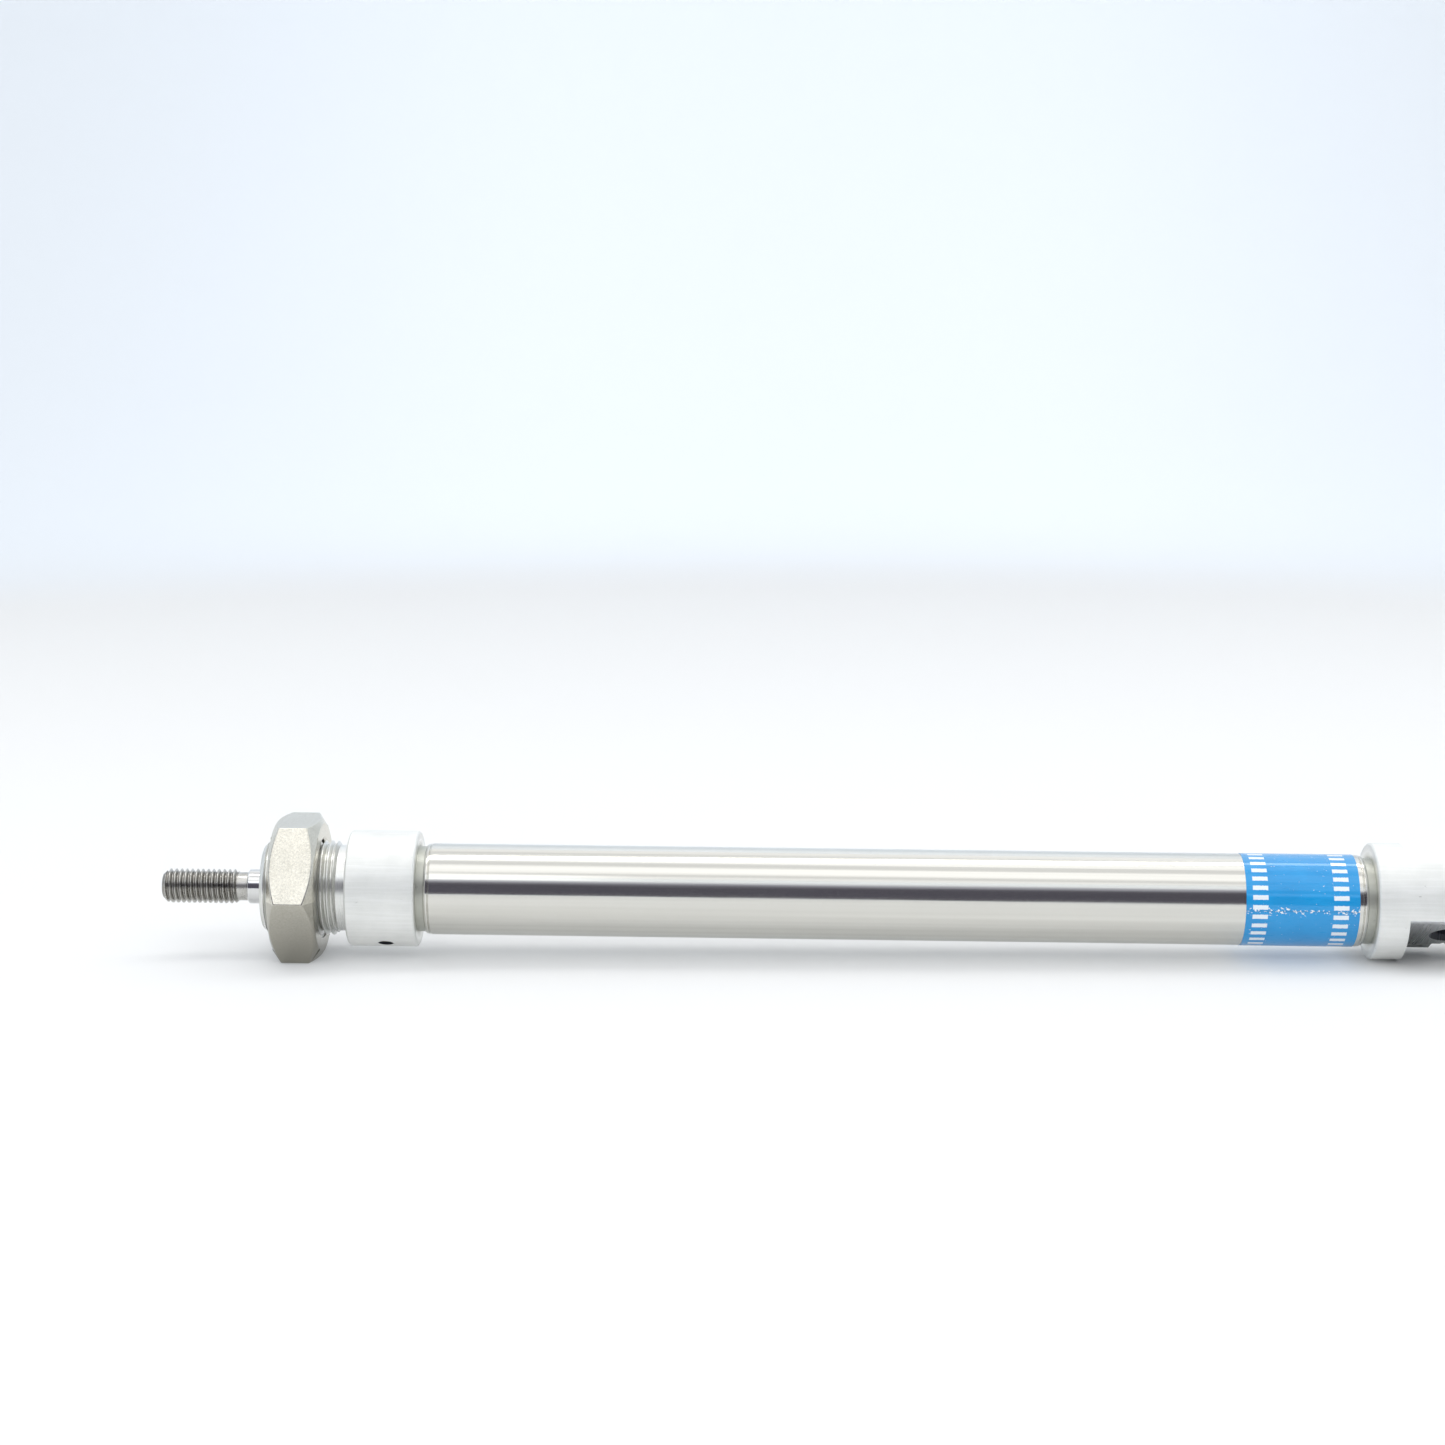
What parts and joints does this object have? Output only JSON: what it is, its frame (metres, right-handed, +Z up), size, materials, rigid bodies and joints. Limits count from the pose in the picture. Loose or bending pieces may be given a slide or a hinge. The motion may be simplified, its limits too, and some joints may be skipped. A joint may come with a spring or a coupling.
{
  "type": "pneumatic cylinder",
  "caption": "Round double-acting pneumatic cylinder: polished tube crimped between aluminium caps, threaded rod end, mounting nut on the front neck and a flatted pin eye at the rear.",
  "frame": {"origin": "centre of the front mounting face, the annular shoulder that the mounting nut clamps against, on the cylinder's axis", "axes": "+X along the axis from the rod end to the rear eye, +Z up with the cylinder lying on a flat of its mounting nut, +Y to the left of +X seen from above"},
  "size_m": [0.314, 0.037, 0.032],
  "materials": {
    "cap_aluminium": "turned, bright satin",
    "tube_stainless": "drawn and polished stainless steel",
    "rod_stainless": "ground stainless steel",
    "nut_nickel": "nickel plated steel, satin, slightly grained",
    "label_film": "printed polymer film",
    "seal_rubber": "moulded rubber or polyurethane",
    "pad_polymer": "moulded elastomer",
    "bush_bronze": "sintered bronze",
    "screw_brass": "turned brass",
    "guide_polymer": "moulded acetal",
    "spear_alloy": "turned",
    "piston_alloy": "turned",
    "magnet_ferrite": "sintered magnet"
  },
  "bodies": {
    "barrel": {"bearing_cap": "cap_aluminium", "end_cap": "cap_aluminium", "cylinder_tube": "tube_stainless", "label": "label_film", "rod_wiper": "seal_rubber", "rod_seal": "seal_rubber", "guide_bush": "bush_bronze", "front_tube_oring": "seal_rubber", "rear_tube_oring": "seal_rubber", "front_cushion_seal": "seal_rubber", "rear_cushion_seal": "seal_rubber", "front_end_pad": "pad_polymer", "rear_end_pad": "pad_polymer"},
    "nut": {"mounting_nut": "nut_nickel"},
    "front_cushion_screw": {"front_cushion_screw": "screw_brass", "front_screw_oring": "seal_rubber"},
    "rear_cushion_screw": {"rear_cushion_screw": "screw_brass", "rear_screw_oring": "seal_rubber"},
    "piston_seals": {"guide_ring": "guide_polymer", "front_piston_seal": "seal_rubber", "rear_piston_seal": "seal_rubber"},
    "rod": {"piston_rod": "rod_stainless", "front_cushion_spear": "spear_alloy", "rear_cushion_spear": "spear_alloy", "front_piston_half": "piston_alloy", "rear_piston_half": "piston_alloy", "magnet_ring": "magnet_ferrite", "piston_oring": "seal_rubber"}
  },
  "joints": [
    {"name": "rod_slide", "type": "slide", "parent": "barrel", "child": "piston_seals", "axis": [-1, 0, 0], "range_m": [0, 0.185]},
    {"name": "rod_turn", "type": "hinge", "parent": "piston_seals", "child": "rod", "pos_m": [0, 0, 0], "axis": [1, 0, 0], "continuous": true},
    {"name": "nut_travel", "type": "slide", "parent": "barrel", "child": "nut", "axis": [1, 0, 0], "range_m": [-0.0025, 0.0065]},
    {"name": "front_screw_turn", "type": "hinge", "parent": "barrel", "child": "front_cushion_screw", "pos_m": [0.0088, -0.005, -0.00866], "axis": [0, -0.5, -0.866], "range_deg": [-270, 810]},
    {"name": "rear_screw_turn", "type": "hinge", "parent": "barrel", "child": "rear_cushion_screw", "pos_m": [0.2405, 0.005, 0.00866], "axis": [0, 0.5, 0.866], "range_deg": [-270, 810]}
  ]
}
